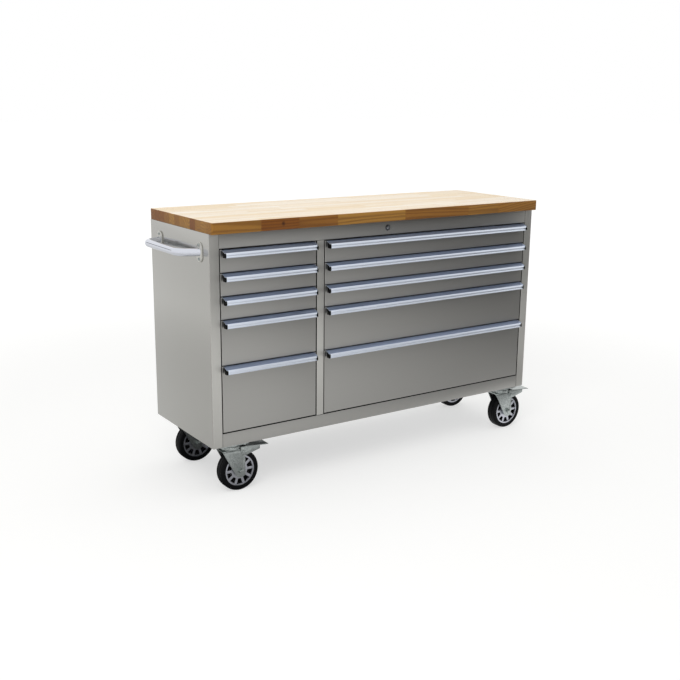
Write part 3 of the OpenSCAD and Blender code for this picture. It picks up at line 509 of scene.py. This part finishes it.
def makePushHandle():
    tube = {"inset": 32 * mm, "bend": 40 * mm, "bendSteps": 12, "sides": 40, "seat": 2 * mm}
    foot = {"width": 40 * mm, "rise": 5 * mm}
    low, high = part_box("push_handle")
    footLow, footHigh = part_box("handle_feet")
    radius, level = (high.z - low.z) / 2, (high.z + low.z) / 2
    y0, y1 = footLow.y + foot["width"] / 2, footHigh.y - foot["width"] / 2
    grip = low.x + radius
    line = [(footHigh.x, y0), (grip, y0 + tube["inset"]), (grip, y1 - tube["inset"]), (footHigh.x, y1)]
    path = bentPath(line, tube["bend"], tube["bendSteps"])
    turns = [2 * pi * k / tube["sides"] for k in range(tube["sides"])]
    loops = []
    for p, d in path:
        across, middle = Vector((-d.y, d.x, 0)), Vector((p.x, p.y, level))
        loops.append([middle + radius * (cos(t) * across + Vector((0, 0, sin(t)))) for t in turns])
    # its ends are cut upright, just inside the foot plates
    seat = footLow.x + tube["seat"]
    for loop, (p, d) in ((loops[0], path[0]), (loops[-1], path[-1])):
        for point in loop:
            point.xy += d * ((seat - point.x) / d.x)
    bm = bmesh.new()
    loft(bm, loops)
    finishPiece(bm, "push_handle_tube", "cabinet", ["chrome"], ["push_handle"], smooth=60)

    # foot plates: oval, with a rolled rim and a shallow dish, from (inset, rise) in millimetres
    press = ((0.4, 0.0), (0.0, 0.5), (0.0, 3.2), (0.5, 4.4), (1.8, 5.0), (3.4, 5.0), (5.0, 4.3), (7.0, 4.1))
    thick, height = footHigh.x - footLow.x, footHigh.z - footLow.z
    centre = height / 2 - foot["width"] / 2
    bm = bmesh.new()
    for y in (y0, y1):
        loops = []
        for inset, rise in press:
            r, x = foot["width"] / 2 - inset * mm, footHigh.x - rise * mm * thick / foot["rise"]
            flat = arc(0, centre, r, 0, 180, 14) + arc(0, -centre, r, 180, 360, 14)
            loops.append([Vector((x, y + u, level + v)) for u, v in flat])
        loft(bm, loops)
    finishPiece(bm, "handle_feet_pressed", "cabinet", ["postSteel"], ["handle_feet"], smooth=50)


def makeLock():
    lock = {"bore": 6.05 * mm, "barrel": 9 * mm, "deep": 24 * mm}
    low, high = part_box("lock_housing")
    centre = Vector(((low.x + high.x) / 2, cabinet["front"], (low.z + high.z) / 2))
    outer, rise = (high.x - low.x) / 2, low.y - cabinet["front"]
    # the bezel's face, from the bore out and then from the rim in, as (distance, depth) in millimetres
    lead = ((0, 1.2), (0.6, 0.5))
    rim = ((2.6, 0), (1.2, 0.2), (0.3, 0.8), (0, 1.6))
    outline = [(lock["bore"], lock["deep"])]
    outline += [(lock["bore"] + out * mm, rise + back * mm) for out, back in lead]
    outline += [(outer - inset * mm, rise + back * mm) for inset, back in rim]
    outline += [(outer, 0), (lock["barrel"], 0), (lock["barrel"], lock["deep"])]
    bm = bmesh.new()
    lathe(bm, outline, centre, 56)
    finishPiece(bm, "lock_bezel_turned", "cabinet", ["darkNickel"], ["lock_housing"])
    dressedCopy("lock_plug", "lock_plug", ["nickel"], 0.25 * mm)


# what a drawer's pieces share: how deep its front is, and how high its tray stands above the front's foot
drawer = {"frontDeep": 14 * mm, "trayLift": 8 * mm}


def makeDrawerFront(body, low, high):
    pan = {"lip": 20 * mm, "fold": 1.2 * mm, "corner": 1.4 * mm, "lipCorner": 3 * mm, "innerCorner": 1 * mm}
    front, back = low.y, low.y + drawer["frontDeep"]
    thick = sheet["thick"]
    bend = [(pan["fold"] * (1 - sin(t)), pan["fold"] * (1 - cos(t))) for t in (0, 0.4, 0.8, 1.2, pi / 2)]
    steps = [(inset, front + deep, pan["corner"]) for inset, deep in bend]
    steps += [(inset, back - deep, pan["corner"]) for inset, deep in reversed(bend)]
    steps += [(pan["lip"], back, pan["lipCorner"]), (pan["lip"], back - thick, pan["lipCorner"]),
              (thick, back - thick, pan["innerCorner"]), (thick, front + thick, pan["innerCorner"])]
    bm = bmesh.new()
    panLoft(bm, "Y", (low.x, high.x, low.z, high.z), steps)
    finishPiece(bm, body + "_front", body, ["frontSteel"], [body + "_box"], smooth=50)


# The tray behind the front, with the catch on its back
def makeTray(body, low, high):
    tray = {"side": 12.7 * mm - drawerGap, "drop": 14 * mm, "wall": 1 * mm, "corner": 2 * mm,
            "innerCorner": 1.5 * mm, "bend": 2 * mm, "hem": 2.6 * mm, "hemDeep": 9 * mm, "ease": 0.4 * mm,
            "clear": 0.05 * mm}
    catch = {"reach": 14.5 * mm, "long": 19.5 * mm, "high": 20 * mm, "thick": 1.5 * mm, "overlap": 0.2 * mm}
    y0, y1 = low.y + drawer["frontDeep"] + tray["clear"], high.y - catch["reach"]
    z0, z1 = low.z + drawer["trayLift"], high.z - tray["drop"]
    wall, bend, hem, ease = tray["wall"], tray["bend"], tray["hem"], tray["ease"]
    outside = [(bend, z0), (0.3 * bend, z0 + 0.3 * bend), (0, z0 + bend), (0, z1 - 2 * ease), (ease, z1)]
    inside = [(hem - ease, z1), (hem, z1 - 2 * ease), (hem, z1 - tray["hemDeep"]),
              (wall, z1 - tray["hemDeep"] - ease), (wall, z0 + wall + bend),
              (wall + 0.3 * bend, z0 + wall + 0.3 * bend), (wall + bend, z0 + wall)]
    steps = [(inset, z, tray["corner"]) for inset, z in outside]
    steps += [(inset, z, tray["innerCorner"]) for inset, z in inside]
    bm = bmesh.new()
    panLoft(bm, "Z", (low.x + tray["side"], high.x - tray["side"], y0, y1), steps)
    middle, level, thick = (low.x + high.x) / 2, (z0 + z1) / 2, catch["thick"]
    line = [(middle - thick / 2, y1 - catch["overlap"]), (middle - thick / 2, high.y - thick / 2),
            (middle + catch["long"] - thick, high.y - thick / 2)]
    extrude(bm, foldedSheet(line, thick=thick, fold=thick), "Z", level - catch["high"] / 2,
            level + catch["high"] / 2)
    finishPiece(bm, body + "_tray", body, ["innerSteel"], smooth=50)


# The drawer members of its two slides
def makeRunners(body, low, high):
    member = {"up": 26 * mm, "half": 17.4 * mm, "inner": 3.6 * mm, "outer": 12.65 * mm, "start": 20 * mm,
              "length": 400 * mm}
    centre = low.z + drawer["trayLift"] + member["up"]
    half = member["half"] - sheet["thick"] / 2
    start = cabinet["front"] + member["start"]
    bm = bmesh.new()
    for edge, inward in ((low.x - drawerGap, 1), (high.x + drawerGap, -1)):
        web = edge + inward * (member["outer"] - sheet["thick"] / 2)
        tip = edge + inward * member["inner"]
        line = [(tip, centre - half), (web, centre - half), (web, centre + half), (tip, centre + half)]
        extrude(bm, foldedSheet(line), "Y", start, start + member["length"])
    finishPiece(bm, body + "_runners", body, ["zinc"], bevel=0.15 * mm)


# The pull: a sloping top, an upper band that leans back, a hollow, a lower band that turns under into a hook
def makePull(body):
    pull = {"wall": 2.2 * mm, "slope": 9.8 * mm, "nose": 0.6 * mm, "lean": 2.6 * mm, "hollow": 2.4 * mm,
            "hollowTop": 4.6 * mm, "hollowLow": 10 * mm, "under": 1.2 * mm, "hook": 2 * mm, "flange": 16 * mm,
            "ease": 0.4 * mm, "chamfer": 0.6 * mm, "round": 0.5 * mm, "brim": 1.3 * mm, "seam": 0.02 * mm}
    cap = {"long": 5 * mm, "deep": 19 * mm, "below": 0.1 * mm, "corner": 1 * mm, "clear": 0.05 * mm,
           # the two points of its front corner, in millimetres back and down
           "frontCorner": ((0.3, 1.2), (1.4, 0.2))}
    low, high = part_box(body + "_pull")
    reach, edge, foot = high.y - low.y, -pull["slope"], low.z - high.z
    fall = pull["slope"] / reach
    wall, nose, under, hook = pull["wall"], pull["nose"], pull["under"], pull["hook"]
    ease, chamfer, hollow, flange = pull["ease"], pull["chamfer"], pull["hollow"], pull["flange"]
    inner, tip = -reach + wall + chamfer, reach - pull["lean"]
    # its section, from the back of the top round the front to the flange behind
    noseAt = (nose - tip, -fall * (tip - nose) - nose * sqrt(1 + fall * fall))
    outline = [(0, 0)] + arc(*noseAt, nose, 90 + degrees(atan2(fall, 1)), 160, 4)
    outline += [(-reach, edge - pull["hollowTop"] + ease), (-reach + ease / 2, edge - pull["hollowTop"]),
                (-reach + hollow, edge - pull["hollowTop"] - chamfer),
                (-reach + hollow, edge - pull["hollowLow"])]
    outline += arc(-reach + under, foot + under + chamfer, under, 160, 240, 5)
    outline += [(-reach + wall + ease, foot), (inner + hook - chamfer, foot), (inner + hook, foot + chamfer),
                (inner + hook, foot + wall - pull["round"]), (inner + hook - pull["round"], foot + wall),
                (inner, foot + wall), (inner, -fall * (reach - wall) - wall), (-wall, -fall * wall - wall),
                (-wall, -flange), (0, -flange)]
    bm = bmesh.new()
    placed = [(high.y + u, high.z + v) for u, v in outline]
    extrude(bm, placed, "X", low.x + cap["long"], high.x - cap["long"])
    # its sloping top runs on over the end caps
    roof = [(0, 0), (-tip, -fall * tip), (-tip + chamfer / 2, -fall * tip - pull["brim"]), (0, -pull["brim"])]
    placed = [(high.y + u, high.z + v) for u, v in roof]
    for start in (low.x, high.x - cap["long"] + pull["seam"]):
        extrude(bm, placed, "X", start, start + cap["long"] - pull["seam"])
    # faces that face up take the darker top tones: painted shade
    for face in bm.faces:
        face.normal_update()
        face.material_index = int(face.normal.z > 0.8)
    finishPiece(bm, body + "_pull_extrusion", body, ["pull", "pullTop"], [body + "_pull"],
                bevel=0.15 * mm, smooth=30)

    # end caps with two round lobes
    lobe, below = cap["deep"] / 4, pull["brim"] + cap["below"]
    backTop = -fall * (reach - cap["deep"]) - below
    outline = [(-reach + back * mm, edge - below - down * mm) for back, down in cap["frontCorner"]]
    outline += [(-reach + cap["deep"] - cap["corner"], backTop),
                (-reach + cap["deep"], backTop - cap["corner"])]
    outline += arc(-reach + 3 * lobe, foot + lobe, lobe, 0, -165, 8)
    outline += arc(-reach + lobe, foot + lobe, lobe, -15, -180, 8)
    placed = [(high.y + u, high.z + v) for u, v in outline]
    bm = bmesh.new()
    for start in (low.x, high.x - cap["long"]):
        extrude(bm, placed, "X", start, start + cap["long"] - cap["clear"])
    finishPiece(bm, body + "_pull_caps", body, ["black"], bevel=0.6 * mm, smooth=45)


def makeDrawer(name):
    body = "drawer_" + name
    low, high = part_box(body + "_box")
    makeDrawerFront(body, low, high)
    makeTray(body, low, high)
    makeRunners(body, low, high)
    makePull(body)


def makeWheel(corner):
    tyre = {"seat": 57.05 * mm, "bead": 1 * mm, "step": 62 * mm, "stepWide": 0.8 * mm, "stepDeep": 0.7 * mm,
            "shoulder": 7 * mm, "crown": 0.3 * mm, "grooves": (-8 * mm, 8 * mm), "grooveDeep": 1.6 * mm,
            "grooveWide": 2.4 * mm, "ease": 0.4 * mm}
    body = "wheel_" + corner
    low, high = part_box("tyre_" + corner)
    centre, radius, half = (low + high) / 2, (high.z - low.z) / 2, (high.y - low.y) / 2
    # one side of the tyre's section as (radius, along), then its tread, then the other side
    wall, inner = tyre["stepDeep"] - half, radius - tyre["shoulder"]
    side = [(tyre["seat"], tyre["bead"] - half), (tyre["seat"] + tyre["bead"], -half), (tyre["step"], -half),
            (tyre["step"] + tyre["stepWide"], wall), (inner, wall)]
    side += [(inner + (tyre["shoulder"] - tyre["crown"]) * sin(t),
              wall + (tyre["shoulder"] - tyre["stepDeep"]) * (1 - cos(t)))
             for t in (0.3, 0.6, 0.9, 1.2, pi / 2)]
    tread = []
    for at in tyre["grooves"]:
        deep, wide, ease = tyre["grooveDeep"], tyre["grooveWide"] / 2, tyre["ease"]
        tread += [(radius, at - wide - ease), (radius - deep, at - wide), (radius - deep, at + wide),
                  (radius, at + wide + ease)]
    bm = bmesh.new()
    lathe(bm, side + tread + [(r, -a) for r, a in reversed(side)], centre, 96)
    finishPiece(bm, "tyre_" + corner + "_moulded", body, ["rubber"], ["tyre_" + corner],
                smooth=35)

    # the hub's faces are bright and the pockets between its spokes are black
    hub = {"pocketIn": 30 * mm, "pocketOut": 51.2 * mm, "face": 14.4 * mm}

    def inPocket(face):
        spot = face.calc_center_median() - centre
        away = sqrt(spot.x ** 2 + spot.z ** 2)
        return int(hub["pocketIn"] < away < hub["pocketOut"] and abs(spot.y) < hub["face"])
    dressedCopy("hub_" + corner, body, ["hub", "pocket"], 0.6 * mm, inPocket)


def makeCasters():
    for corner in corners:
        makeWheel(corner)
        dressedCopy("fork_" + corner, "fork_" + corner, ["zinc"], 0.7 * mm)
    for corner in corners[:2]:
        dressedCopy("pedal_" + corner, "pedal_" + corner, ["zinc"], 0.6 * mm)
    dressedCopy("caster_plates", "cabinet", ["zinc"], 0.8 * mm)
    dressedCopy("fasteners", "cabinet", ["zinc"], 0.4 * mm)


def makeInside():
    # for each CAD node: finish, slot, and how far its edges are rounded
    fixed = {"back_panel": ("sideSteel", "stainless", 0.3 * mm),
             "base_pan": ("innerSteel", "inner_steel", 0.4 * mm),
             "centre_divider": ("innerSteel", "inner_steel", 0.3 * mm),
             "slide_uprights": ("innerSteel", "inner_steel", 0.3 * mm),
             "slide_rails": ("zinc", "zinc_steel", 0.25 * mm)}
    for node, (finish, slotName, bevel) in fixed.items():
        dressedCopy(node, "cabinet", [finish], bevel)
    for node in ["lock_bar"] + [f"drawer_{name}_slides" for name in drawerNames]:
        dressedCopy(node, node, ["zinc"], 0.25 * mm)


makeSidePanel("side_panel_left", cabinet["left"], 1)
makeSidePanel("side_panel_right", cabinet["right"], -1)
makeFrontFrame()
makeWorktop()
print("cabinet and worktop made")
makePushHandle()
makeLock()
for name in drawerNames:
    makeDrawer(name)
print("drawers made")
makeCasters()
makeInside()
print("casters and inside made")


# A flat slab of the studio, which isn't part of the object
def stageSlab(name, low, high, material):
    bm = bmesh.new()
    box(bm, low, high)
    mesh = bpy.data.meshes.new(name)
    bm.to_mesh(mesh)
    bm.free()
    mesh.materials.append(material)
    slab = bpy.data.objects.new(name, mesh)
    bpy.context.scene.collection.objects.link(slab)
    return slab


# The camera and mirrors see a white room, which gives the object less light than that
def makeWorld():
    room = {"fill": 0.55}
    world = bpy.data.worlds.new("studio")
    bpy.context.scene.world = world
    world.use_nodes = True
    tree = world.node_tree
    tree.nodes.clear()
    path = addNode(tree, "LightPath")
    seen = addNode(tree, "Math", {0: path.outputs["Is Camera Ray"], 1: path.outputs["Is Glossy Ray"]},
                   operation="MAXIMUM")
    seenAll = addNode(tree, "Math", {0: seen.outputs[0], 1: path.outputs["Is Transmission Ray"]},
                      operation="MAXIMUM")
    fill = addNode(tree, "Background", {"Color": white, "Strength": room["fill"]})
    bright = addNode(tree, "Background", {"Color": white, "Strength": 1.0})
    mixed = addNode(tree, "MixShader", {0: seenAll.outputs[0], 1: fill.outputs[0], 2: bright.outputs[0]})
    addNode(tree, "OutputWorld", {"Surface": mixed.outputs[0]})


# A paper floor that the camera and mirrors see lifted towards white, most where it is far off
def makeFloor():
    floor = {"half": 40, "thick": 0.01, "paper": "#BEBEBC", "near": 1.4, "far": 4.4,
             "cameraLift": (0.56, 0.78), "mirrorLift": (0.30, 0.56)}
    paper, tree, shader, place = newMaterial("studioPaper", {
        "Roughness": 0.9, "Base Color": linear(floor["paper"]), "Specular IOR Level": 0.0,
        "Emission Color": white})
    away = addNode(tree, "VectorMath", {0: place}, operation="LENGTH").outputs["Value"]
    lifts = [addNode(tree, "MapRange", {"Value": away, "From Min": floor["near"], "From Max": floor["far"],
                                        "To Min": floor[key][0], "To Max": floor[key][1]},
                     interpolation_type="SMOOTHSTEP").outputs[0] for key in ("cameraLift", "mirrorLift")]
    path = addNode(tree, "LightPath")
    mirror = addNode(tree, "Math", {0: path.outputs["Is Glossy Ray"], 1: path.outputs["Is Transmission Ray"]},
                     operation="MAXIMUM")
    byCamera = addNode(tree, "Math", {0: path.outputs["Is Camera Ray"], 1: lifts[0]}, operation="MULTIPLY")
    byMirror = addNode(tree, "Math", {0: mirror.outputs[0], 1: lifts[1]}, operation="MULTIPLY")
    lift = addNode(tree, "Math", {0: byCamera.outputs[0], 1: byMirror.outputs[0]}, operation="MAXIMUM")
    setInputs(tree, shader, {"Emission Strength": lift.outputs[0]})
    half = floor["half"]
    stageSlab("studioFloor", (-half, -half, -floor["thick"]), (half, half, 0), paper)


def makeLamps():
    # place, size and power
    lamps = {"key": ((-2.6, -2.4, 3.6), 2.6, 60), "overhead": ((0.6, 0.4, 3.8), 3.4, 30)}
    aim = Vector((0, 0, 0.5))
    for name, (spot, size, power) in lamps.items():
        light = bpy.data.lights.new(name, "AREA")
        light.size = size
        light.energy = power
        lamp = bpy.data.objects.new(name, light)
        lamp.location = spot
        lamp.visible_glossy = False  # metal shows the bright room, not the lamps
        lamp.rotation_euler = (aim - Vector(spot)).to_track_quat("-Z", "Y").to_euler()
        bpy.context.scene.collection.objects.link(lamp)


# A dark slab that only reflections see. Its glow changes along its way, and it is clear where a fade starts
def makeCard(name, low, high, way, span, glowing, fades=()):
    cloth, tree, shader, place = newMaterial(name + "Cloth", {
        "Roughness": 0.9, "Base Color": linear("#050505"), "Specular IOR Level": 0.0,
        "Emission Color": white})
    along = addNode(tree, "VectorMath", {0: place, 1: way}, operation="DOT_PRODUCT")
    glow = addNode(tree, "MapRange", {"Value": along.outputs["Value"], "From Min": span[0],
                                      "From Max": span[1], "To Min": glowing[0], "To Max": glowing[1]})
    setInputs(tree, shader, {"Emission Strength": glow.outputs[0]})
    surface = shader.outputs[0]
    for across, start, end in fades:
        apart = addNode(tree, "VectorMath", {0: place, 1: across}, operation="DOT_PRODUCT")
        shown = addNode(tree, "MapRange", {"Value": apart.outputs["Value"], "From Min": start,
                                           "From Max": end}, interpolation_type="SMOOTHSTEP")
        clear = addNode(tree, "BsdfTransparent")
        mixed = addNode(tree, "MixShader", {0: shown.outputs[0], 1: clear.outputs[0], 2: surface})
        surface = mixed.outputs[0]
    setInputs(tree, tree.nodes["Material Output"], {"Surface": surface})
    card = stageSlab(name, low, high, cloth)
    card.visible_camera = False
    card.visible_diffuse = False
    card.visible_shadow = False
    card.visible_transmission = False


def makeCards():
    front, back, skin = cabinet["front"], cabinet["back"], 1 * mm
    # low corner, high corner, the way along which the glow changes, where that starts and ends, and the glow
    # at both: the walls lighten upwards, the outer two mats darken to the right, the inner two to the left
    walls = {
        "studioWallFront": ((-0.3, -4.95, skin), (10.0, -4.9, 4.0), (0, 0, 1), (2.0, 4.0), (0.05, 1.0)),
        "studioWallLeft": ((-4.05, 5.9, 1.75), (-4.0, 9.6, 2.65), (0, 0, 1), (1.75, 2.65), (0.0, 0.2))}
    mats = {
        "studioMatOuter": ((-5.0, -4.9, skin), (10.0, front, 2 * skin), (1, 0.2, 0),
                           (-0.21, 2.01), (0.84, 0.24)),
        "studioMatRail": ((-5.0, -0.8, skin), (1.4, -0.42, 3 * skin), (1, 0, 0), (-0.35, 0.8), (0.72, 0.38)),
        "studioMatNear": ((-5.0, -0.42, skin), (1.1, front, 3 * skin), (1, 0, 0), (-0.3, 0.7), (0.35, 1.0)),
        # the slab under the cabinet is painted shade: it darkens what reflections see there, most to the left
        "studioShadeUnder": ((cabinet["left"], front, skin), (cabinet["right"], back, 2 * skin), (1, 0, 0),
                           (-0.1, 0.6), (0.05, 1.0))}
    # the mats fade away to the left of the cabinet and to its right, so the ends stay plain
    fades = (((1, 0, 0), -1.1, -0.75), ((-1, -1.8, 0), -1.15, -0.4))
    for name, card in walls.items():
        makeCard(name, *card)
    for name, card in mats.items():
        makeCard(name, *card, fades)


def makeCamera():
    view = {"place": (-2.15136, -3.12061, 1.37945), "heading": 34.05, "tilt": 14.06, "roll": 0.557,
            "lens": 52.35, "sensor": 36}
    data = bpy.data.cameras.new("camera")
    data.lens = view["lens"]
    data.sensor_width = view["sensor"]
    camera = bpy.data.objects.new("camera", data)
    heading = Matrix.Rotation(-radians(view["heading"]), 4, "Z")
    tilt = Matrix.Rotation(radians(90 - view["tilt"]), 4, "X")
    roll = Matrix.Rotation(radians(view["roll"]), 4, "Z")
    camera.matrix_world = Matrix.Translation(view["place"]) @ heading @ tilt @ roll
    bpy.context.scene.collection.objects.link(camera)
    bpy.context.scene.camera = camera


makeWorld()
makeFloor()
makeLamps()
makeCards()
makeCamera()
bpy.context.scene.view_settings.view_transform = "Standard"
print("studio made")
